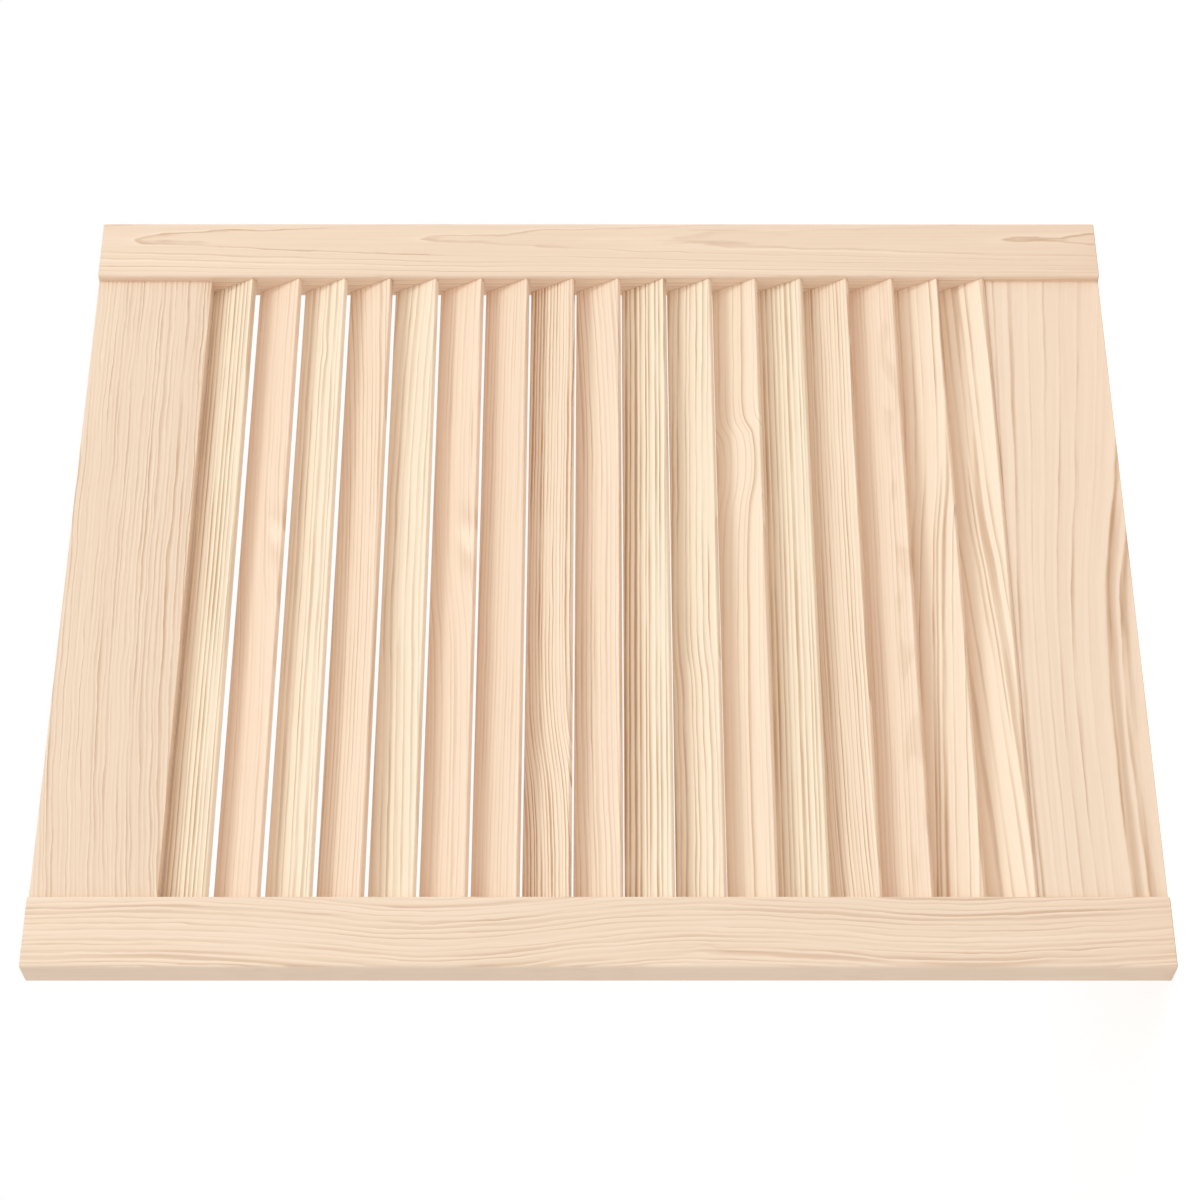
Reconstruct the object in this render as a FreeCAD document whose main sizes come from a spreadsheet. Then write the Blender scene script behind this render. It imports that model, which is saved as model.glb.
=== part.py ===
import FreeCAD, Part
import Sketcher
import math
import os

# Louvred cabinet door, as it hangs: X across the width, Y through the thickness, Z up.
# The front looks along -Y. The origin is in the middle of the bottom edge.

# Driving sizes in millimetres; the tilt is in degrees from the face of the door
DRIVING_SIZES = {
    "door_height": 615,
    "door_width": 494,
    "stile_width": 41,
    "stile_thickness": 21,
    "stile_round": 2,
    "stile_end_chamfer": 0.4,
    "rail_width": 69.5,
    "rail_thickness": 16,
    "rail_round": 0.4,
    "slat_count": 17,
    "slat_width": 29.85,
    "slat_thickness": 4,
    "slat_round": 0.8,
    "slat_tilt": 30.5,
    "slat_set_back": 0.7,
    "slat_top_gap": 0.5,
    "slat_bottom_gap": 0.6,
    "slat_end_gap": 0.5,
    "housing_depth": 8,
    "housing_clearance": 0.1,
    "dowel_diameter": 6,
    "dowel_length": 40,
    "dowel_spacing": 36,
    "dowel_chamfer": 0.8,
    "dowel_clearance": 0.05,
    "dowel_end_gap": 1,
}

doc = FreeCAD.newDocument("louvred_cabinet_door")
sheet = doc.addObject("Spreadsheet::Sheet", "sizes")
for row, (alias, number) in enumerate(DRIVING_SIZES.items(), start=1):
    sheet.set(f"B{row}", str(number))
    sheet.setAlias(f"B{row}", alias)
doc.recompute()

# Formulas that follow from the driving sizes
RAIL_LENGTH = "(sizes.door_width - 2 * sizes.stile_width)"
SLAT_LENGTH = f"({RAIL_LENGTH} + 2 * (sizes.housing_depth - sizes.slat_end_gap))"
SLAT_REACH = "(sizes.slat_width - 2 * sizes.slat_round)"
SLAT_DEPTH = "(sizes.slat_thickness - 2 * sizes.slat_round)"
SLAT_RISE = (f"({SLAT_REACH} * cos(sizes.slat_tilt * 1 deg) + {SLAT_DEPTH} * sin(sizes.slat_tilt * 1 deg)"
             " + 2 * sizes.slat_round)")
SLAT_COUNT = "round(sizes.slat_count)"
LOWEST_SLAT = f"(sizes.rail_width + sizes.slat_bottom_gap + {SLAT_RISE} / 2)"
HIGHEST_SLAT = f"(sizes.door_height - sizes.rail_width - sizes.slat_top_gap - {SLAT_RISE} / 2)"
SLAT_SPAN = f"({HIGHEST_SLAT} - {LOWEST_SLAT})"
STILE_OFFSET = "((sizes.door_width - sizes.stile_width) / 2)"
DOWEL_HOLE = "(sizes.dowel_diameter + 2 * sizes.dowel_clearance)"
DOWEL_HOLE_DEPTH = "(sizes.dowel_length / 2 + sizes.dowel_end_gap)"
# The rails lie flush with the back of the stiles and set back from their front
RAIL_MIDDLE = "((sizes.stile_thickness - sizes.rail_thickness) / 2)"
RAIL_HEIGHTS = {
    "top": "(sizes.door_height - sizes.rail_width / 2)",
    "bottom": "(sizes.rail_width / 2)",
}
DOWEL_STEPS = {
    "upper": "+ sizes.dowel_spacing / 2",
    "lower": "- sizes.dowel_spacing / 2",
}
SIDES = {"left": -1, "right": 1}


# Helpers for sketches and features

def number_of(formula):
    value = sheet.evalExpression(formula)
    return float(getattr(value, "Value", value))


def origin_feature(body, role):
    return next(feature for feature in body.Origin.OriginFeatures if feature.Role == role)


def new_body(label, shift):
    body = doc.addObject("PartDesign::Body", label)
    body.Label = label
    for axis, formula in shift.items():
        body.setExpression(f"Placement.Base.{axis}", formula)
    return body


def new_sketch(body, plane, shift):
    sketch = body.newObject("Sketcher::SketchObject", f"{body.Label}_sketch")
    sketch.AttachmentSupport = [(origin_feature(body, plane), "")]
    sketch.MapMode = "FlatFace"
    for axis, formula in shift.items():
        sketch.setExpression(f"AttachmentOffset.Base.{axis}", formula)
    return sketch


def constrain(sketch, name, formula, kind, *references):
    index = sketch.addConstraint(Sketcher.Constraint(kind, *references, number_of(formula)))
    sketch.renameConstraint(index, name)
    sketch.setExpression(f"Constraints.{name}", formula)


def draw_rectangle(sketch, across, upright):
    half_across = number_of(across) / 2
    half_upright = number_of(upright) / 2
    corners = [
        FreeCAD.Vector(-half_across, -half_upright, 0),
        FreeCAD.Vector(half_across, -half_upright, 0),
        FreeCAD.Vector(half_across, half_upright, 0),
        FreeCAD.Vector(-half_across, half_upright, 0),
    ]
    for side, corner in enumerate(corners):
        sketch.addGeometry(Part.LineSegment(corner, corners[(side + 1) % 4]))
    for side in range(4):
        sketch.addConstraint(Sketcher.Constraint("Coincident", side, 2, (side + 1) % 4, 1))
        sketch.addConstraint(Sketcher.Constraint("Horizontal" if side % 2 == 0 else "Vertical", side))
    sketch.addConstraint(Sketcher.Constraint("Symmetric", 0, 1, 2, 1, -1, 1))
    constrain(sketch, "across", across, "DistanceX", 0, 1, 0, 2)
    constrain(sketch, "upright", upright, "DistanceY", 1, 1, 1, 2)


def draw_slat_section(sketch, clearance):
    # A thin bar with rounded edges, leaning back from the front as it rises
    radius = f"(sizes.slat_round + {clearance})"
    size = number_of(radius)
    lean = math.radians(number_of("sizes.slat_tilt"))
    high = FreeCAD.Vector(math.sin(lean), math.cos(lean), 0) * (number_of(SLAT_REACH) / 2)
    back = FreeCAD.Vector(math.cos(lean), -math.sin(lean), 0) * (number_of(SLAT_DEPTH) / 2)
    facing = FreeCAD.Vector(0, 0, 1)
    centres = [high + back, high - back, (high + back) * -1, back - high]
    for turn, centre in enumerate(centres):
        start = turn * math.pi / 2 - lean
        outward = FreeCAD.Vector(math.cos(start), math.sin(start), 0) * size
        sketch.addGeometry(Part.LineSegment(centres[turn - 1] + outward, centre + outward))
        sketch.addGeometry(Part.ArcOfCircle(Part.Circle(centre, facing, size), start, start + math.pi / 2))
    for side in range(8):
        sketch.addConstraint(Sketcher.Constraint("Tangent", side, 2, (side + 1) % 8, 1))
    for arc in (3, 5, 7):
        sketch.addConstraint(Sketcher.Constraint("Equal", 1, arc))
    sketch.addConstraint(Sketcher.Constraint("Perpendicular", 0, 2))
    sketch.addConstraint(Sketcher.Constraint("Parallel", 0, 4))
    sketch.addConstraint(Sketcher.Constraint("Parallel", 2, 6))
    sketch.addConstraint(Sketcher.Constraint("Symmetric", 1, 3, 5, 3, -1, 1))
    constrain(sketch, "edge_radius", radius, "Radius", 1)
    constrain(sketch, "reach", SLAT_REACH, "Distance", 1, 3, 7, 3)
    constrain(sketch, "depth", SLAT_DEPTH, "Distance", 1, 3, 3, 3)
    constrain(sketch, "slope", "90 - sizes.slat_tilt", "Angle", 0)


def draw_circles(sketch, diameter, heights):
    # Circles on the sketch's upright axis, at heights above its origin
    facing = FreeCAD.Vector(0, 0, 1)
    for index, height in enumerate(heights):
        centre = FreeCAD.Vector(0, number_of(height), 0)
        sketch.addGeometry(Part.Circle(centre, facing, number_of(diameter) / 2))
        sketch.addConstraint(Sketcher.Constraint("PointOnObject", index, 3, -2))
        constrain(sketch, f"height_{index}", height, "DistanceY", -1, 1, index, 3)
        constrain(sketch, f"diameter_{index}", diameter, "Diameter", index)


def draw_circle(sketch, diameter):
    sketch.addGeometry(
        Part.Circle(FreeCAD.Vector(0, 0, 0), FreeCAD.Vector(0, 0, 1), number_of(diameter) / 2))
    sketch.addConstraint(Sketcher.Constraint("Coincident", 0, 3, -1, 1))
    constrain(sketch, "diameter", diameter, "Diameter", 0)


def pad(body, sketch, length, side_type):
    feature = body.newObject("PartDesign::Pad", f"{body.Label}_pad")
    feature.Profile = sketch
    feature.SideType = side_type
    feature.setExpression("Length", length)
    doc.recompute()
    return feature


def pocket(body, sketch, depth, reversed_side):
    before = body.Shape.Volume
    feature = body.newObject("PartDesign::Pocket", f"{body.Label}_pocket")
    feature.Profile = sketch
    feature.Reversed = reversed_side
    feature.setExpression("Length", depth)
    doc.recompute()
    if body.Shape.Volume > before - 1:
        raise RuntimeError(f"{feature.Label} cuts nothing")
    return feature


def dress_edges(body, kind, size_name, size, wanted):
    base = body.Tip
    names = [f"Edge{n}" for n, edge in enumerate(base.Shape.Edges, start=1) if wanted(edge)]
    feature = body.newObject(f"PartDesign::{kind}", f"{body.Label}_{kind.lower()}")
    feature.Base = (base, names)
    feature.setExpression(size_name, size)
    doc.recompute()
    return feature


def runs_along(axis):
    def wanted(edge):
        return abs(abs(edge.tangentAt(edge.FirstParameter).dot(axis)) - 1) < 1e-6
    return wanted


def lies_at_ends(axis, ends):
    def wanted(edge):
        places = [vertex.Point.dot(axis) for vertex in edge.Vertexes]
        return any(max(abs(place - end) for place in places) < 1e-6 for end in ends)
    return wanted


# The pieces

def make_stile(side):
    outward = SIDES[side]
    body = new_body(f"{side}_stile", {"x": f"{outward} * {STILE_OFFSET}"})
    section = new_sketch(body, "XY_Plane", {})
    draw_rectangle(section, "sizes.stile_width", "sizes.stile_thickness")
    pad(body, section, "sizes.door_height", "One side")
    upward = FreeCAD.Vector(0, 0, 1)
    dress_edges(body, "Fillet", "Radius", "sizes.stile_round", runs_along(upward))
    ends = (0, number_of("sizes.door_height"))
    dress_edges(body, "Chamfer", "Size", "sizes.stile_end_chamfer", lies_at_ends(upward, ends))

    # The inner edge takes the slat ends and the dowels
    inner_edge = f"{-outward} * sizes.stile_width / 2"
    holes = new_sketch(body, "YZ_Plane", {"x": RAIL_MIDDLE, "z": inner_edge})
    heights = [rail + step for rail in RAIL_HEIGHTS.values() for step in DOWEL_STEPS.values()]
    draw_circles(holes, DOWEL_HOLE, heights)
    pocket(body, holes, DOWEL_HOLE_DEPTH, outward > 0)

    housing = new_sketch(
        body, "YZ_Plane", {"x": "sizes.slat_set_back", "y": LOWEST_SLAT, "z": inner_edge})
    draw_slat_section(housing, "sizes.housing_clearance")
    lowest_housing = pocket(body, housing, "sizes.housing_depth", outward > 0)
    housings = body.newObject("PartDesign::LinearPattern", f"{body.Label}_housings")
    housings.Originals = [lowest_housing]
    housings.Direction = (origin_feature(body, "Z_Axis"), [""])
    housings.setExpression("Length", SLAT_SPAN)
    housings.setExpression("Occurrences", SLAT_COUNT)
    body.Tip = housings
    doc.recompute()
    return body


def make_rail(end):
    body = new_body(f"{end}_rail", {"y": RAIL_MIDDLE, "z": RAIL_HEIGHTS[end]})
    section = new_sketch(body, "YZ_Plane", {})
    draw_rectangle(section, "sizes.rail_thickness", "sizes.rail_width")
    pad(body, section, RAIL_LENGTH, "Symmetric")
    across = FreeCAD.Vector(1, 0, 0)
    dress_edges(body, "Fillet", "Radius", "sizes.rail_round", runs_along(across))
    for outward in SIDES.values():
        holes = new_sketch(body, "YZ_Plane", {"z": f"{outward} * {RAIL_LENGTH} / 2"})
        draw_circles(holes, DOWEL_HOLE, DOWEL_STEPS.values())
        pocket(body, holes, DOWEL_HOLE_DEPTH, outward < 0)
    return body


def make_slat(index):
    height = f"{HIGHEST_SLAT} - {index} * {SLAT_SPAN} / ({SLAT_COUNT} - 1)"
    body = new_body(f"slat_{index + 1:02d}", {"y": "sizes.slat_set_back", "z": height})
    section = new_sketch(body, "YZ_Plane", {})
    draw_slat_section(section, "0")
    pad(body, section, SLAT_LENGTH, "Symmetric")
    return body


def make_dowel(end, side, step):
    body = new_body(
        f"dowel_{end}_{side}_{step}",
        {
            "x": f"{SIDES[side]} * {RAIL_LENGTH} / 2",
            "y": RAIL_MIDDLE,
            "z": RAIL_HEIGHTS[end] + DOWEL_STEPS[step],
        })
    section = new_sketch(body, "YZ_Plane", {})
    draw_circle(section, "sizes.dowel_diameter")
    pad(body, section, "sizes.dowel_length", "Symmetric")
    across = FreeCAD.Vector(1, 0, 0)
    half = number_of("sizes.dowel_length") / 2
    dress_edges(body, "Chamfer", "Size", "sizes.dowel_chamfer", lies_at_ends(across, (-half, half)))
    return body


pieces = [make_stile(side) for side in SIDES]
pieces += [make_rail(end) for end in RAIL_HEIGHTS]
pieces += [make_slat(index) for index in range(int(number_of(SLAT_COUNT)))]
pieces += [
    make_dowel(end, side, step)
    for end in RAIL_HEIGHTS
    for side in SIDES
    for step in DOWEL_STEPS
]
doc.recompute()

# Every piece must be one sound solid before it is written
for item in doc.Objects:
    if "Invalid" in item.State or "Error" in item.State:
        raise RuntimeError(f"{item.Label} did not recompute: {item.State}")
os.makedirs("parts", exist_ok=True)
for piece in pieces:
    if piece.Shape.isNull() or not piece.Shape.isValid() or len(piece.Shape.Solids) != 1:
        raise RuntimeError(f"{piece.Label} is not one sound solid")
    piece.Shape.exportStep(f"parts/{piece.Label}.step")
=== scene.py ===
import math
from typing import NamedTuple

import bmesh
import bpy
from bpy.props import FloatProperty, FloatVectorProperty, PointerProperty
from mathutils import Matrix, Vector


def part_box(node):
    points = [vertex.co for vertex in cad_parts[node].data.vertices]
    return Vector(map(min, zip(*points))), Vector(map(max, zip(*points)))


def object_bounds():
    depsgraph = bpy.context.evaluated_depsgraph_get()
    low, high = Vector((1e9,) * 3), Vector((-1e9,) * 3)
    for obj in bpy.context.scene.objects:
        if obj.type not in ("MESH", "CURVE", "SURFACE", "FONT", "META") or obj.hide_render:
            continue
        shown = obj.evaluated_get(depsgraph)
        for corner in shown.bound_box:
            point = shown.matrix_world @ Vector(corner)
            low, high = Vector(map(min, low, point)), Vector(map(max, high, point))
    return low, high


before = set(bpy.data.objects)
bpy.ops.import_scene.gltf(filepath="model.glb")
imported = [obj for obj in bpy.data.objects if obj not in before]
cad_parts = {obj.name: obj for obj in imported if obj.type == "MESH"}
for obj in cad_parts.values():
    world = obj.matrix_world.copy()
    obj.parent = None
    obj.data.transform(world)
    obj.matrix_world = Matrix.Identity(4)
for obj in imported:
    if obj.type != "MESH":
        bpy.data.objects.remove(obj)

bl_info = {
    "name": "Louvred cabinet door",
    "version": (1, 0, 0),
    "blender": (4, 5, 0),
    "location": "View3D > Sidebar > Louvred door",
    "description": "Dresses the packed pieces of a pine louvred door and sets up its studio",
    "category": "Object",
}

CAD_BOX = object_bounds()
MILLIMETRE = 0.001
FRONT = (0, -1, 0)
WHITE = (1, 1, 1, 1)
SLAT_LEAN = math.radians(30.5)

# The camera's sensor in millimetres, and how near and how far it sees in metres
SENSOR_WIDTH = 36
CLIP_START = 0.05
CLIP_END = 200

# A piece's own axes in the door's: along the grain, across the front face, out of that face.
# Stiles run down the door and across to the right, rails and slats run to the right and across upwards.
STILE_AXES = Matrix(((0, 1, 0), (0, 0, -1), (-1, 0, 0)))
RAIL_AXES = Matrix(((1, 0, 0), (0, 0, -1), (0, 1, 0)))
SLAT_AXES = Matrix.Rotation(-SLAT_LEAN, 3, "X") @ RAIL_AXES

# Half of each section, along, across and out, in millimetres
STILE_HALF = (307.5, 20.5, 10.5)
RAIL_HALF = (206, 34.75, 8)
SLAT_HALF = (213.5, 14.925, 2)
DOWEL_HALF = (20, 3, 3)

# The longest piece and the widest wander that a drift curve can hold, in millimetres from the middle
DRIFT_LENGTH = 320
DRIFT_HEIGHT = 30

# How dark and how rough the wood is before its grain is added, and how the surface takes light
PLAIN_DARKNESS = 0.14
PLAIN_ROUGHNESS = 0.62
BUMP_STRENGTH = 0.6
SPECULAR_LEVEL = 0.3

# The tapered end of a streak, and how far from an arris the wear and painted highlight start and are full,
# in millimetres
STREAK_TAPER = 40
WEAR_AND_HIGHLIGHT_START = 3
WEAR_AND_HIGHLIGHT_FULL = 0.5

# Noise in turns per millimetre along and across the grain
RAGGED_SCALE = (0.03, 0.16)
PATCH_SCALE = (0.012, 0.25)
FIBRE_SCALE = (0.02, 1.1)
HAIR_SCALE = (0.006, 0.7)
PORE_SCALE = (0.10, 2.6)
BLOTCH_SCALE = (0.04, 0.12)
TONE_SCALE = (0.006, 0.05)
ARRIS_PATCH_SCALE = (0.03, 0.2)


class Cut(NamedTuple):
    """How a piece was sawn out of its log, in millimetres in the piece's own axes.

    The pith is the line that the growth rings lie round. The drift is a row of places along the
    piece, each with how far the grain has wandered across the face there, and the fan makes it
    wander further towards one edge than the other. The streak is one long resin line that follows
    the grain between two places along the piece. A knot pushes the rings aside, and a swirl is a
    pale patch with dark flanks at the same place. The year range is how far the dark lines differ.
    The edge fade weakens the lines on the narrow edges, the tone darkens the whole piece, and the
    blush makes it pinker, or yellower where it is below 0.
    """

    pith_across: float
    pith_depth: float = 0.0
    depth_slope: float = 0.0
    ring_width: float = 3.0
    ring_start: float = 0.0
    late_share: float = 0.4
    line_strength: float = 0.5
    year_range: float = 0.55
    ragged: float = 0.35
    wave_height: float = 1.0
    wave_length: float = 160.0
    knot_along: float = 0.0
    knot_across: float = 0.0
    knot_size: float = 5.0
    knot_rings: float = 0.0
    swirl: float = 0.0
    streak_from: float = 0.0
    streak_to: float = 0.0
    streak_across: float = 0.0
    streak_width: float = 1.0
    streak_strength: float = 0.0
    blotch: float = 0.0
    edge_fade: float = 0.0
    tone: float = 0.0
    seed: float = 0.0
    fan: float = 0.0
    blush: float = 0.0
    drift: tuple = ()


STILE_CUTS = {
    "left_stile": Cut(
        75, -4, ring_width=3.1, late_share=0.45, line_strength=0.5, ragged=1.3, wave_height=3, tone=-0.01,
        knot_along=56, knot_across=-10, knot_size=3, knot_rings=0.4, edge_fade=0.9, seed=3.1,
        streak_from=30, streak_to=110, streak_across=-13, streak_width=1.6, streak_strength=0.35,
        drift=((-307, 0), (-200, -1), (-150, -5), (-100, -8), (-50, -6), (0, -1), (60, 2),
               (120, 0), (180, -4), (240, -3), (307, 1))),
    "right_stile": Cut(
        8, -17, depth_slope=0.0135, ring_width=2.2, ring_start=-0.65, late_share=0.2,
        line_strength=0.55, ragged=0.5, wave_height=1.5, tone=0.06, seed=8.9, streak_from=38, streak_to=110,
        streak_across=15, streak_width=1.6, streak_strength=0.35),
}
RAIL_CUTS = {
    "top_rail": Cut(
        -160, ring_width=2.5, late_share=0.45, line_strength=0.6, year_range=0.9, ragged=1.5,
        wave_height=2.5, wave_length=90, edge_fade=0.6, tone=0.07, seed=11.7,
        drift=((-206, -8), (-40, 2), (60, 4), (206, 6))),
    "bottom_rail": Cut(
        -42, -30, ring_width=6.2, late_share=0.22, line_strength=0.9, year_range=0.9, ragged=0.6,
        tone=-0.06, seed=14.2, streak_from=-260, streak_to=60, streak_across=-19, streak_width=5,
        streak_strength=0.5, fan=-0.6,
        drift=((-206, 0), (-30, -1), (20, -5), (60, -9), (100, -12), (206, -18))),
}
SLAT_CUTS = {
    "slat_01": Cut(
        -120, ring_width=3.1, late_share=0.5, line_strength=1.15, blush=-0.045, seed=21.3,
        drift=((-206, 0.6), (206, -0.6))),
    "slat_02": Cut(
        -80, ring_width=3, line_strength=0.32, ragged=0.8, knot_along=24, knot_across=-11, knot_size=6,
        knot_rings=0.2, swirl=0.22, blush=0.035, seed=22.8,
        drift=((-206, -3), (-40, -1), (20, 4), (70, 6), (206, 7))),
    "slat_03": Cut(
        -90, ring_width=4.2, late_share=0.45, line_strength=0.85, ragged=0.6, wave_height=2,
        knot_along=157, knot_across=-2, knot_size=4, knot_rings=0.4, tone=-0.04, blush=-0.04, seed=23.9),
    "slat_04": Cut(
        -90, -8, ring_width=2.6, line_strength=0.6, ragged=0.5, tone=0.02, blush=0.02, seed=24.4, fan=0.5,
        drift=((-206, 0), (0, 0.5), (206, 9))),
    "slat_05": Cut(
        -60, -10, ring_width=4.6, late_share=0.45, line_strength=0.66, ragged=0.8, wave_height=4,
        tone=-0.04, blush=-0.035, seed=25.6, drift=((-206, -2), (-60, 1), (80, 0.5), (206, -3))),
    "slat_06": Cut(
        -85, ring_width=3.4, line_strength=0.32, ragged=0.8, knot_along=20, knot_across=-11, knot_size=7,
        knot_rings=0.2, swirl=0.3, blush=0.03, seed=26.1, streak_from=55, streak_to=130,
        streak_across=-17.5, streak_width=1.4, streak_strength=0.5,
        drift=((-206, -4), (-60, -2), (10, 4), (60, 6), (206, 5))),
    "slat_07": Cut(
        -110, ring_width=2.4, line_strength=0.38, ragged=0.6, tone=0.03, blush=0.02, seed=27.7,
        drift=((-206, 2), (206, -2))),
    "slat_08": Cut(
        -70, -12, ring_width=2.2, line_strength=1.3, ragged=0.6, tone=0.03, seed=28.5,
        drift=((-206, -7), (-150, -5), (-80, 3), (0, 4), (206, 3))),
    "slat_09": Cut(
        -60, -20, ring_width=3, line_strength=0.54, ragged=0.6, wave_height=2, blush=0.015, seed=29.2,
        drift=((-206, -4), (-100, 0), (80, 0), (206, 6))),
    "slat_10": Cut(
        -120, ring_width=3.3, late_share=0.5, line_strength=1.6, tone=-0.03, blush=-0.045, seed=30.3,
        drift=((-206, 1.5), (206, -1.5))),
    "slat_11": Cut(
        -80, -6, ring_width=4, late_share=0.4, line_strength=0.8, ragged=0.8, wave_height=2,
        wave_length=90, streak_from=-66, streak_to=34, streak_across=-11, streak_width=1,
        streak_strength=0.6, tone=-0.02, blush=-0.03, seed=31.8,
        drift=((-206, -1), (-80, -1.5), (-40, 1.5), (20, 0.5), (206, -3))),
    "slat_12": Cut(
        -100, ring_width=4.5, late_share=0.3, line_strength=0.35, ragged=0.6, tone=-0.04, seed=32.6,
        streak_from=-300, streak_to=300, streak_across=-2, streak_width=1.6, streak_strength=0.68,
        drift=((-206, 0), (0, -2), (40, -4), (74, -9), (92, -8), (112, -2), (150, -2.5), (206, -3.5))),
    "slat_13": Cut(
        -120, ring_width=3.3, late_share=0.5, line_strength=0.86, blush=-0.045, seed=33.4,
        drift=((-206, 1), (206, -1))),
    "slat_14": Cut(
        -110, ring_width=2.4, line_strength=0.85, ragged=0.5, seed=34.9,
        drift=((-206, -3), (-120, 0), (206, 0))),
    "slat_15": Cut(
        -90, -6, ring_width=2.6, line_strength=0.35, ragged=0.6, blotch=0.14, wave_height=2,
        blush=0.02, seed=35.1, drift=((-206, 2), (206, -3))),
    "slat_16": Cut(
        -70, -10, ring_width=6.5, late_share=0.3, line_strength=1.05, ragged=0.6, tone=-0.035, seed=36.7,
        streak_from=-260, streak_to=80, streak_across=0, streak_width=1.6, streak_strength=0.6,
        drift=((-206, 10), (-90, 4), (20, -3), (74, -9), (206, -12))),
    "slat_17": Cut(
        -70, -10, ring_width=8, late_share=0.3, line_strength=0.82, ragged=0.6, tone=-0.12, seed=37.2,
        streak_from=-120, streak_to=90, streak_across=0, streak_width=1.6, streak_strength=0.7,
        drift=((-206, -14), (-110, -9), (0, -1), (40, 3), (100, 5), (206, 8))),
}
DOWEL_CUT = Cut(-40, -6, ring_width=1.6, line_strength=0.3, wave_height=0.4, wave_length=60, seed=50.0)


class PineSettings(bpy.types.PropertyGroup):
    """The wood that a user would change"""

    frame_wood: FloatVectorProperty(
        name="Frame wood", description="Colour of the palest part of a growth ring in the stiles and rails",
        default=(0.925, 0.722, 0.551), min=0, max=1, subtype="COLOR")
    slat_wood: FloatVectorProperty(
        name="Slat wood", description="Colour of the palest part of a growth ring in the slats",
        default=(0.94, 0.738, 0.557), min=0, max=1, subtype="COLOR")
    late_wood: FloatVectorProperty(
        name="Late wood", description="Colour of the dark line that ends a growth ring",
        default=(0.56, 0.328, 0.184), min=0, max=1, subtype="COLOR")
    dowel_wood: FloatVectorProperty(
        name="Dowel wood", description="Colour of the palest part of a growth ring in the hidden dowels",
        default=(0.80, 0.545, 0.36), min=0, max=1, subtype="COLOR")
    relief: FloatProperty(
        name="Relief", description="Height of the grain that can be felt on the planed faces",
        default=0.00005, min=0, subtype="DISTANCE", unit="LENGTH", precision=6)


class StageSettings(bpy.types.PropertyGroup):
    """The studio round the door"""

    ambient: FloatProperty(
        name="Ambient", description="Strength of the even light from all round",
        default=0.867, min=0)
    ambient_colour: FloatVectorProperty(
        name="Ambient colour", description="Colour of the even light",
        default=(0.958, 0.984, 1.0), min=0, max=1, subtype="COLOR")
    key_power: FloatProperty(
        name="Key power", description="Power of the large soft lamp above and in front",
        default=71.7, min=0, subtype="POWER", unit="POWER")
    key_colour: FloatVectorProperty(
        name="Key colour", description="Colour of the soft lamp, cool like daylight",
        default=(0.781, 0.949, 1.0), min=0, max=1, subtype="COLOR")
    key_distance: FloatProperty(
        name="Key distance", description="From the middle of the door to the soft lamp",
        default=5, min=0.5, subtype="DISTANCE", unit="LENGTH")
    key_width: FloatProperty(
        name="Key width", description="Across the soft lamp, level with the floor",
        default=0.9, min=0.01, subtype="DISTANCE", unit="LENGTH")
    key_height: FloatProperty(
        name="Key height", description="Across the soft lamp, upwards",
        default=1.9, min=0.01, subtype="DISTANCE", unit="LENGTH")
    key_direction: FloatVectorProperty(
        name="Key direction", description="From the door towards the soft lamp",
        default=(0.4, -1.0, 1.3), subtype="DIRECTION")
    fill_power: FloatProperty(
        name="Fill power", description="Power of the very large lamp straight in front",
        default=61.8, min=0, subtype="POWER", unit="POWER")
    fill_colour: FloatVectorProperty(
        name="Fill colour", description="Colour of the fill lamp",
        default=(0.971, 1.0, 1.0), min=0, max=1, subtype="COLOR")
    fill_distance: FloatProperty(
        name="Fill distance", description="From the middle of the door to the fill lamp",
        default=4, min=0.5, subtype="DISTANCE", unit="LENGTH")
    fill_size: FloatProperty(
        name="Fill size", description="Across the fill lamp",
        default=8, min=0.01, subtype="DISTANCE", unit="LENGTH")
    floor_size: FloatProperty(
        name="Floor size", description="Side of the square floor",
        default=40, min=1, subtype="DISTANCE", unit="LENGTH")
    floor_colour: FloatVectorProperty(
        name="Floor colour", description="Colour of the pale floor",
        default=(0.72, 0.676, 0.66), min=0, max=1, subtype="COLOR")
    floor_lift: FloatProperty(
        name="Floor lift", description="How far the floor is brightened where it is seen directly",
        default=0.455, min=0)
    camera_place: FloatVectorProperty(
        name="Camera place", description="Where the photograph was taken from",
        default=(-0.783, -1.3415, 0.3066), subtype="TRANSLATION", unit="LENGTH", precision=4)
    camera_pitch: FloatProperty(
        name="Camera pitch", description="Angle between the line of sight and the door's face",
        default=math.radians(60.27), subtype="ANGLE", unit="ROTATION")
    camera_lens: FloatProperty(
        name="Lens", description="Focal length on a 36 mm sensor, in millimetres",
        default=80.43, min=1)


class DoorSettings(bpy.types.PropertyGroup):
    """All settings of the louvred door"""

    pine: PointerProperty(type=PineSettings, name="Pine", description="The wood")
    stage: PointerProperty(type=StageSettings, name="Stage", description="The studio")


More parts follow.
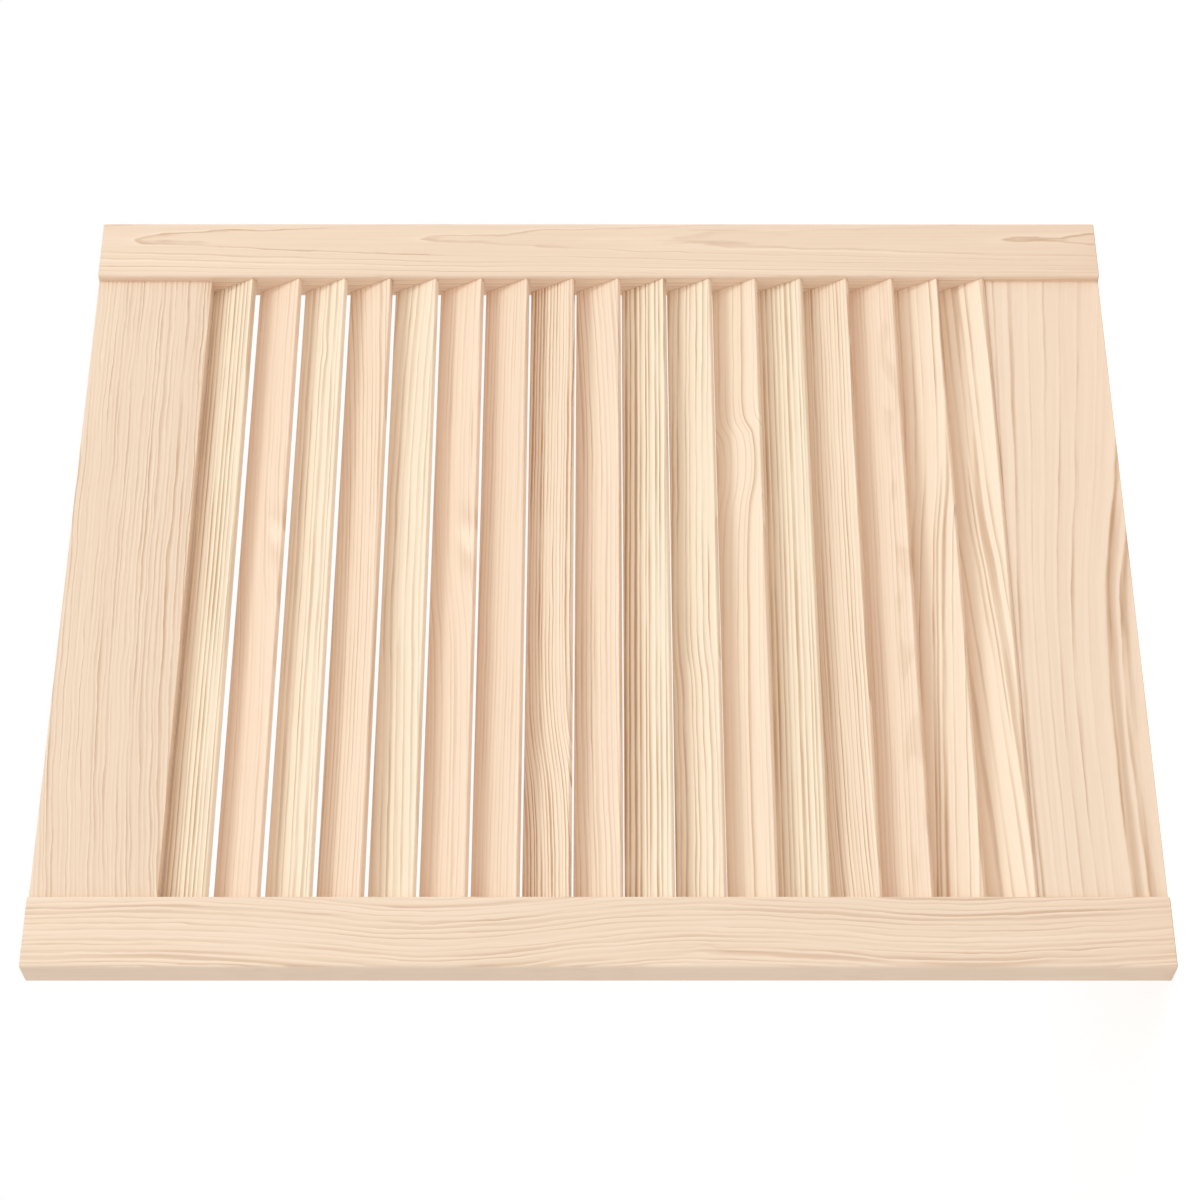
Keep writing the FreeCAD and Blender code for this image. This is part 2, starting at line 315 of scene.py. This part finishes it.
class Pattern:
    """Adds shader nodes to a tree. Each value is a number, a vector or another node's output."""

    def __init__(self, tree):
        self.tree = tree

    def feed(self, socket, value):
        if isinstance(value, bpy.types.NodeSocket):
            self.tree.links.new(value, socket)
        else:
            socket.default_value = value

    def node(self, kind, values, **settings):
        made = self.tree.nodes.new(kind)
        for name, setting in settings.items():
            setattr(made, name, setting)
        for socket, value in values.items():
            self.feed(made.inputs[socket], value)
        return made

    def math(self, operation, *values):
        return self.node("ShaderNodeMath", dict(enumerate(values)), operation=operation).outputs[0]

    def add_share(self, value, share, total):
        """The total with a share of the value added"""
        return self.math("MULTIPLY_ADD", value, share, total)

    def sum_shares(self, total, shares):
        """The total with a share of each value added, from pairs of a value and its share"""
        for value, share in shares:
            total = self.add_share(value, share, total)
        return total

    def parts(self, vector):
        return self.node("ShaderNodeSeparateXYZ", {0: vector}).outputs

    def join(self, *values):
        return self.node("ShaderNodeCombineXYZ", dict(enumerate(values))).outputs[0]

    def stretch(self, place, along, across):
        scales = (along, across, across)
        return self.node("ShaderNodeVectorMath", {0: place, 1: scales}, operation="MULTIPLY").outputs[0]

    def scale(self, place, factor):
        return self.node("ShaderNodeVectorMath", {0: place, "Scale": factor}, operation="SCALE").outputs[0]

    def length(self, vector):
        return self.node("ShaderNodeVectorMath", {0: vector}, operation="LENGTH").outputs["Value"]

    def facing(self, axis):
        """1 where the surface looks along an axis of the door, 0 where it lies along it"""
        normal = self.node("ShaderNodeNewGeometry", {}).outputs["Normal"]
        share = self.node("ShaderNodeVectorMath", {0: normal, 1: axis}, operation="DOT_PRODUCT")
        return self.ramp(self.math("ABSOLUTE", share.outputs["Value"]), 0.6, 0.95)

    def noise(self, place, seed, detail=2.0):
        return self.node("ShaderNodeTexNoise", {"Vector": place, "W": seed, "Scale": 1.0,
                                                "Detail": detail}, noise_dimensions="4D").outputs

    def swing(self, place, seed, detail=2.0):
        """Noise between about -1 and 1"""
        middle = self.math("SUBTRACT", self.noise(place, seed, detail)["Fac"], 0.5)
        return self.math("MULTIPLY", middle, 3.0)

    def ramp(self, value, low, high):
        """0 at low and 1 at high, with a smooth rise between them"""
        return self.node("ShaderNodeMapRange", {"Value": value, "From Min": low, "From Max": high},
                         interpolation_type="SMOOTHSTEP").outputs["Result"]

    def blend(self, share, first, second):
        return self.node("ShaderNodeMix", {0: share, 6: first, 7: second}, data_type="RGBA").outputs[2]


def socket_name(field):
    """The pine group's name for a field of a cut"""
    return field.replace("_", " ").title()


# These fields reach the pine group as a curve and as colours, and the others as plain numbers
RESHAPED_FIELDS = ("drift", "blush")
PLAIN_FIELDS = [field for field in Cut._fields if field not in RESHAPED_FIELDS]
PINE_INPUTS = {
    "Place": "NodeSocketVector",
    "Half Size": "NodeSocketVector",
    "Grain Axis": "NodeSocketVector",
    "Across Axis": "NodeSocketVector",
    "Early Wood": "NodeSocketColor",
    "Late Wood": "NodeSocketColor",
    "Drift": "NodeSocketFloat",
    **{socket_name(field): "NodeSocketFloat" for field in PLAIN_FIELDS},
}
PINE_OUTPUTS = {
    "Color": "NodeSocketColor",
    "Roughness": "NodeSocketFloat",
    "Height": "NodeSocketFloat",
}


def pine_group():
    """Growth rings round a pith line, in millimetres, with fibres, streaks, end grain, and arrises paled by
    sanding wear and a painted highlight
    """
    tree = bpy.data.node_groups.new("sawn_pine", "ShaderNodeTree")
    for name, kind in PINE_INPUTS.items():
        tree.interface.new_socket(name=name, in_out="INPUT", socket_type=kind)
    for name, kind in PINE_OUTPUTS.items():
        tree.interface.new_socket(name=name, in_out="OUTPUT", socket_type=kind)
    grain = Pattern(tree)
    given = tree.nodes.new("NodeGroupInput").outputs
    place, seed = given["Place"], given["Seed"]
    along, across, out = grain.parts(place)

    # The grain wanders across the piece, and all that follows the grain wanders with it
    half_along, half_across, half_out = grain.parts(given["Half Size"])
    fan = grain.math("MULTIPLY", grain.math("DIVIDE", across, half_across), given["Fan"])
    wander = grain.math("MULTIPLY", given["Drift"], grain.math("ADD", fan, 1.0))
    straightened = grain.math("SUBTRACT", across, wander)
    flow = grain.join(along, straightened, out)

    # The log's slow bends move the pith line sideways and in depth
    bend_step = grain.math("DIVIDE", 1.0, given["Wave Length"])
    bend_place = grain.scale(grain.stretch(place, 1.0, 0.5), bend_step)
    bends = grain.parts(grain.noise(bend_place, seed, 1.0)["Color"])

    def bent(distance, bend):
        swerve = grain.math("MULTIPLY", grain.math("SUBTRACT", bend, 0.5), given["Wave Height"])
        return grain.add_share(swerve, 2.0, distance)

    sideways = bent(grain.math("SUBTRACT", straightened, given["Pith Across"]), bends[0])
    sunk = grain.math("SUBTRACT", out, given["Pith Depth"])
    deep = bent(grain.math("SUBTRACT", sunk, grain.math("MULTIPLY", along, given["Depth Slope"])), bends[1])
    radius = grain.length(grain.join(0.0, sideways, deep))

    # Ring number, with ragged lines, uneven years and the swirl round a knot
    ragged = grain.swing(grain.stretch(flow, *RAGGED_SCALE), seed, 3.0)
    radius = grain.add_share(ragged, given["Ragged"], radius)
    years = grain.math("ADD", grain.math("DIVIDE", radius, given["Ring Width"]), given["Ring Start"])
    uneven = grain.node("ShaderNodeTexNoise", {"W": grain.math("ADD", years, seed), "Scale": 0.8,
                                               "Detail": 1.0}, noise_dimensions="1D").outputs["Fac"]
    years = grain.add_share(uneven, 1.0, years)
    knot_across = grain.math("DIVIDE", grain.math("SUBTRACT", across, given["Knot Across"]),
                             given["Knot Size"])
    knot_along = grain.math("DIVIDE", grain.math("SUBTRACT", along, given["Knot Along"]),
                            given["Knot Size"])
    knot_along = grain.math("DIVIDE", grain.math("SUBTRACT", knot_along, knot_across), 2.0)
    knot_reach = grain.math("ADD", grain.math("MULTIPLY", knot_along, knot_along),
                            grain.math("MULTIPLY", knot_across, knot_across))
    knot_fade = grain.math("EXPONENT", grain.math("MULTIPLY", knot_reach, -1.0))
    knot = grain.math("MULTIPLY", knot_fade, given["Knot Rings"])
    years = grain.math("ADD", years, knot)
    flanks = grain.math("MULTIPLY", grain.math("MULTIPLY", knot_along, knot_along), knot_fade)
    heart = grain.math("MULTIPLY", knot_fade, knot_fade)
    swirl = grain.math("SUBTRACT", grain.math("MULTIPLY", flanks, 2.0), heart)

    # A year starts pale and ends in a dark line, and some years are stronger than others
    season = grain.math("FRACT", years)
    line_start = grain.add_share(given["Late Share"], -1.5, 1.0)
    line_full = grain.add_share(given["Late Share"], -0.3, 1.0)
    line = grain.math("MULTIPLY", grain.ramp(season, line_start, line_full), grain.ramp(season, 1.0, 0.93))
    spring = grain.ramp(season, 0.32, 0.04)
    year_strength = grain.node(
        "ShaderNodeTexWhiteNoise", {"W": grain.math("ADD", grain.math("FLOOR", years), seed)},
        noise_dimensions="1D").outputs["Value"]
    patchy = grain.ramp(grain.noise(grain.stretch(flow, *PATCH_SCALE), seed)["Fac"], 0.3, 0.7)
    patchy = grain.add_share(patchy, 1.4, 0.3)
    edge_fade = grain.math("MULTIPLY", grain.facing(given["Across Axis"]), given["Edge Fade"])
    clear = grain.math("MULTIPLY", given["Line Strength"], grain.math("SUBTRACT", 1.0, edge_fade))
    clear = grain.math("MULTIPLY", grain.add_share(knot, 0.6, clear), patchy)
    weakest_year = grain.math("SUBTRACT", 1.0, given["Year Range"])
    line = grain.math("MULTIPLY", line, grain.add_share(year_strength, given["Year Range"], weakest_year))
    line = grain.math("MULTIPLY", line, clear)
    spring = grain.math("MULTIPLY", spring, clear)

    # One long resin streak, sharp on its upper side and tapered at both ends
    streak_left = grain.ramp(grain.math("SUBTRACT", along, given["Streak From"]), 0.0, STREAK_TAPER)
    streak_right = grain.ramp(grain.math("SUBTRACT", given["Streak To"], along), 0.0, STREAK_TAPER)
    streak_ends = grain.math("MULTIPLY", streak_left, streak_right)
    streak_line = grain.math("SUBTRACT", straightened, given["Streak Across"])
    streak_line = grain.add_share(ragged, given["Ragged"], streak_line)
    streak_line = grain.math("DIVIDE", streak_line, given["Streak Width"])
    streak = grain.math("MULTIPLY", grain.ramp(streak_line, -1.0, 0.0), grain.ramp(streak_line, 0.4, 0.0))
    streak = grain.math("MULTIPLY", grain.math("MULTIPLY", streak, streak_ends), given["Streak Strength"])

    # Fibres, hair lines, pores, blotches low on the face and slow changes of tone along the board
    fibre = grain.swing(grain.stretch(flow, *FIBRE_SCALE), seed, 4.0)
    hair = grain.swing(grain.stretch(flow, *HAIR_SCALE), seed, 2.0)
    pore = grain.ramp(grain.noise(grain.stretch(flow, *PORE_SCALE), seed, 1.0)["Fac"], 0.66, 0.78)
    blotch = grain.ramp(grain.noise(grain.stretch(flow, *BLOTCH_SCALE), seed, 0.0)["Fac"], 0.50, 0.68)
    blotch = grain.math("MULTIPLY", blotch, grain.ramp(across, -2.0, -7.0))
    tone = grain.swing(grain.stretch(flow, *TONE_SCALE), seed, 2.0)

    # End grain shows where a face looks along the grain
    end_grain = grain.facing(given["Grain Axis"])

    # The long arrises are a little smoother from sanding, and paler in patches, partly from sanding wear
    # and partly as a painted highlight on the rounded arrises
    def near_edge(distance, half):
        depth = grain.math("SUBTRACT", half, grain.math("ABSOLUTE", distance))
        return grain.ramp(depth, WEAR_AND_HIGHLIGHT_START, WEAR_AND_HIGHLIGHT_FULL)

    arris = grain.math("MULTIPLY", near_edge(across, half_across), near_edge(out, half_out))
    arris_patches = grain.ramp(grain.noise(grain.stretch(place, *ARRIS_PATCH_SCALE), seed, 3.0)["Fac"], 0.35, 0.65)
    wear_and_highlight = grain.math("MULTIPLY", arris, arris_patches)

    # The darkness is 0 in the palest wood and 1 in the darkest
    darkness = grain.sum_shares(grain.math("ADD", given["Tone"], PLAIN_DARKNESS), (
        (line, 0.7),
        (spring, -0.14),
        (streak, 1.0),
        (end_grain, 0.2),
        (tone, 0.04),
        (fibre, 0.07),
        (hair, 0.07),
        (pore, 0.05),
        (blotch, given["Blotch"]),
        (swirl, given["Swirl"]),
        # The paler arrises are partly sanding wear and partly a painted highlight
        (wear_and_highlight, -0.08),
    ))
    colour = grain.blend(darkness, given["Early Wood"], given["Late Wood"])
    roughness = grain.sum_shares(PLAIN_ROUGHNESS, ((line, -0.08), (fibre, 0.03), (wear_and_highlight, -0.06)))
    height = grain.sum_shares(0.0, ((fibre, 0.25), (line, 0.6), (pore, -0.5)))
    results = tree.nodes.new("NodeGroupOutput").inputs
    grain.feed(results["Color"], colour)
    grain.feed(results["Roughness"], roughness)
    grain.feed(results["Height"], height)
    return tree


def drift_curve(wood, place, drift):
    """How far the grain wanders across the face along the piece, in millimetres"""
    reach = wood.node("ShaderNodeMapRange", {"Value": wood.parts(place)[0], "From Min": -DRIFT_LENGTH,
                                             "From Max": DRIFT_LENGTH}).outputs["Result"]
    curve = wood.node("ShaderNodeFloatCurve", {"Value": reach})
    curve.mapping.extend = "HORIZONTAL"
    spots = [(0.5 + along / DRIFT_LENGTH / 2, 0.5 + across / DRIFT_HEIGHT / 2) for along, across in drift]
    points = curve.mapping.curves[0].points
    points[0].location, points[1].location = spots[0], spots[-1]
    for spot in spots[1:-1]:
        points.new(*spot)
    curve.mapping.update()
    return wood.node("ShaderNodeMapRange", {"Value": curve.outputs[0], "To Min": -DRIFT_HEIGHT,
                                            "To Max": DRIFT_HEIGHT}).outputs["Result"]


def blushed(colour, blush):
    """A pinker shade of a wood colour, or a yellower one for a blush below 0, as four channels"""
    red, green, blue = colour
    return (red, green * (1 - blush), blue * (1 - blush), 1)


def wood_material(node_name, cut, axes, half_size, early, late, relief):
    """A piece's own cut of the wood, placed on the middle of the piece"""
    material = bpy.data.materials.new(f"{node_name}_wood")
    material.use_nodes = True
    tree = material.node_tree
    tree.nodes.clear()
    wood = Pattern(tree)
    low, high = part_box(node_name)
    coordinates = tree.nodes.new("ShaderNodeTexCoord")
    place = wood.node("ShaderNodeMapping", {
        "Vector": coordinates.outputs["Object"],
        "Location": (low + high) / 2,
        "Rotation": axes.to_euler(),
        "Scale": (MILLIMETRE, MILLIMETRE, MILLIMETRE),
    }, vector_type="TEXTURE").outputs["Vector"]
    grain = tree.nodes.new("ShaderNodeGroup")
    grain.node_tree = bpy.data.node_groups.get("sawn_pine") or pine_group()
    values = {socket_name(field): getattr(cut, field) for field in PLAIN_FIELDS}
    values["Place"] = place
    values["Half Size"] = half_size
    values["Grain Axis"] = axes.col[0]
    values["Across Axis"] = axes.col[1]
    values["Early Wood"] = blushed(early, cut.blush)
    values["Late Wood"] = blushed(late, cut.blush)
    if cut.drift:
        values["Drift"] = drift_curve(wood, place, cut.drift)
    for name, value in values.items():
        wood.feed(grain.inputs[name], value)
    bump = wood.node("ShaderNodeBump", {"Strength": BUMP_STRENGTH, "Distance": relief,
                                        "Height": grain.outputs["Height"]})
    shader = wood.node("ShaderNodeBsdfPrincipled", {
        "Base Color": grain.outputs["Color"],
        "Roughness": grain.outputs["Roughness"],
        "Normal": bump.outputs["Normal"],
        "Specular IOR Level": SPECULAR_LEVEL,
    })
    wood.node("ShaderNodeOutputMaterial", {"Surface": shader.outputs[0]})
    return material


class DressOperator:
    """What the operators that dress wooden pieces share"""

    bl_options = {"REGISTER", "UNDO"}

    def dress_all(self, pine, cuts, axes, half_size, early_wood):
        for node_name, cut in cuts.items():
            material = wood_material(
                node_name, cut, axes, half_size, early_wood, pine.late_wood, pine.relief)
            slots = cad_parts[node_name].data.materials
            slots.clear()
            slots.append(material)


class LOUVRE_OT_dress_stiles(DressOperator, bpy.types.Operator):
    """Give the two stiles their pine, grain down the height"""

    bl_idname = "louvre.dress_stiles"
    bl_label = "Dress stiles"

    def execute(self, context):
        pine = context.scene.louvred_door.pine
        self.dress_all(pine, STILE_CUTS, STILE_AXES, STILE_HALF, pine.frame_wood)
        return {"FINISHED"}


class LOUVRE_OT_dress_rails(DressOperator, bpy.types.Operator):
    """Give the two rails their pine, grain across the width"""

    bl_idname = "louvre.dress_rails"
    bl_label = "Dress rails"

    def execute(self, context):
        pine = context.scene.louvred_door.pine
        self.dress_all(pine, RAIL_CUTS, RAIL_AXES, RAIL_HALF, pine.frame_wood)
        return {"FINISHED"}


class LOUVRE_OT_dress_slats(DressOperator, bpy.types.Operator):
    """Give each slat its own cut of pine, turned with the slat's lean"""

    bl_idname = "louvre.dress_slats"
    bl_label = "Dress slats"

    def execute(self, context):
        pine = context.scene.louvred_door.pine
        self.dress_all(pine, SLAT_CUTS, SLAT_AXES, SLAT_HALF, pine.slat_wood)
        return {"FINISHED"}


class LOUVRE_OT_dress_dowels(DressOperator, bpy.types.Operator):
    """Give the hidden dowels a plain close-grained wood"""

    bl_idname = "louvre.dress_dowels"
    bl_label = "Dress dowels"

    def execute(self, context):
        pine = context.scene.louvred_door.pine
        dowels = sorted(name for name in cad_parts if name.startswith("dowel_"))
        cuts = {
            node_name: DOWEL_CUT._replace(seed=DOWEL_CUT.seed + number)
            for number, node_name in enumerate(dowels)
        }
        self.dress_all(pine, cuts, RAIL_AXES, DOWEL_HALF, pine.dowel_wood)
        return {"FINISHED"}


def seen_directly(pattern):
    """1 for the camera and for what shows in glossy or clear surfaces, 0 for light on the object"""
    path = pattern.node("ShaderNodeLightPath", {}).outputs
    shown = pattern.math("MAXIMUM", path["Is Camera Ray"], path["Is Glossy Ray"])
    return pattern.math("MAXIMUM", shown, path["Is Transmission Ray"])


class LOUVRE_OT_set_stage(bpy.types.Operator):
    """Make the pale floor, the even light, the two lamps and the camera"""

    bl_idname = "louvre.set_stage"
    bl_label = "Set stage"
    bl_options = {"REGISTER", "UNDO"}

    def execute(self, context):
        stage = context.scene.louvred_door.stage
        self.make_floor(context, stage)
        self.make_light(context, stage)
        self.make_camera(context, stage)
        context.scene.view_settings.view_transform = "Standard"
        return {"FINISHED"}

    def make_floor(self, context, stage):
        mesh = bpy.data.meshes.new("floor")
        sheet = bmesh.new()
        bmesh.ops.create_grid(sheet, x_segments=1, y_segments=1, size=stage.floor_size / 2)
        sheet.to_mesh(mesh)
        sheet.free()
        floor = bpy.data.objects.new("floor", mesh)
        context.scene.collection.objects.link(floor)
        material = bpy.data.materials.new("pale_floor")
        material.use_nodes = True
        tree = material.node_tree
        tree.nodes.clear()
        pattern = Pattern(tree)
        paint = pattern.node("ShaderNodeBsdfDiffuse", {"Color": (*stage.floor_colour, 1)})
        lift = pattern.node("ShaderNodeEmission", {
            "Strength": pattern.math("MULTIPLY", seen_directly(pattern), stage.floor_lift)})
        both = pattern.node("ShaderNodeAddShader", {0: paint.outputs[0], 1: lift.outputs[0]})
        pattern.node("ShaderNodeOutputMaterial", {"Surface": both.outputs[0]})
        mesh.materials.append(material)

    def make_light(self, context, stage):
        world = bpy.data.worlds.new("studio")
        world.use_nodes = True
        world.node_tree.nodes.clear()
        pattern = Pattern(world.node_tree)
        even_light = [stage.ambient * channel for channel in stage.ambient_colour]
        colour = pattern.blend(seen_directly(pattern), (*even_light, 1), WHITE)
        sky = pattern.node("ShaderNodeBackground", {"Color": colour})
        pattern.node("ShaderNodeOutputWorld", {"Surface": sky.outputs[0]})
        context.scene.world = world

        self.make_lamp(context, "soft_lamp", stage.key_power, stage.key_colour, stage.key_width,
                       stage.key_height, stage.key_direction, stage.key_distance)
        self.make_lamp(context, "fill_lamp", stage.fill_power, stage.fill_colour, stage.fill_size,
                       stage.fill_size, FRONT, stage.fill_distance)

    def make_lamp(self, context, name, power, colour, width, height, direction, distance):
        lamp = bpy.data.lights.new(name, "AREA")
        lamp.shape = "ELLIPSE"
        lamp.size = width
        lamp.size_y = height
        lamp.energy = power
        lamp.color = colour
        holder = bpy.data.objects.new(name, lamp)
        middle = (CAD_BOX[0] + CAD_BOX[1]) / 2
        towards = Vector(direction).normalized()
        holder.location = middle + towards * distance
        holder.rotation_euler = towards.to_track_quat("Z", "Y").to_euler()
        context.scene.collection.objects.link(holder)

    def make_camera(self, context, stage):
        lens = bpy.data.cameras.new("camera")
        lens.lens = stage.camera_lens
        lens.sensor_width = SENSOR_WIDTH
        lens.clip_start = CLIP_START
        lens.clip_end = CLIP_END
        camera = bpy.data.objects.new("camera", lens)
        # The picture's right is the door's bottom, and its top is the door's right side
        sine, cosine = math.sin(stage.camera_pitch), math.cos(stage.camera_pitch)
        picture_axes = Matrix(((0, 0, -1), (sine, -cosine, 0), (-cosine, -sine, 0)))
        camera.location = stage.camera_place
        camera.rotation_euler = picture_axes.transposed().to_euler()
        context.scene.collection.objects.link(camera)
        context.scene.camera = camera


class LOUVRE_PT_door(bpy.types.Panel):
    """Lists the steps that dress the door and set up its studio"""

    bl_label = "Louvred door"
    bl_idname = "LOUVRE_PT_door"
    bl_space_type = "VIEW_3D"
    bl_region_type = "UI"
    bl_category = "Louvred door"

    def draw(self, context):
        door = context.scene.louvred_door
        for group in (door.pine, door.stage):
            box = self.layout.box()
            for name in group.__annotations__:
                box.prop(group, name)
        for step in STEPS:
            self.layout.operator(step.bl_idname)


STEPS = (
    LOUVRE_OT_dress_stiles,
    LOUVRE_OT_dress_rails,
    LOUVRE_OT_dress_slats,
    LOUVRE_OT_dress_dowels,
    LOUVRE_OT_set_stage,
)
CLASSES = (PineSettings, StageSettings, DoorSettings, *STEPS, LOUVRE_PT_door)


def register():
    for cls in CLASSES:
        bpy.utils.register_class(cls)
    bpy.types.Scene.louvred_door = PointerProperty(type=DoorSettings)


def unregister():
    del bpy.types.Scene.louvred_door
    for cls in reversed(CLASSES):
        bpy.utils.unregister_class(cls)


def main():
    register()
    bpy.ops.louvre.dress_stiles()
    bpy.ops.louvre.dress_rails()
    bpy.ops.louvre.dress_slats()
    bpy.ops.louvre.dress_dowels()
    bpy.ops.louvre.set_stage()


if __name__ == "__main__":
    main()
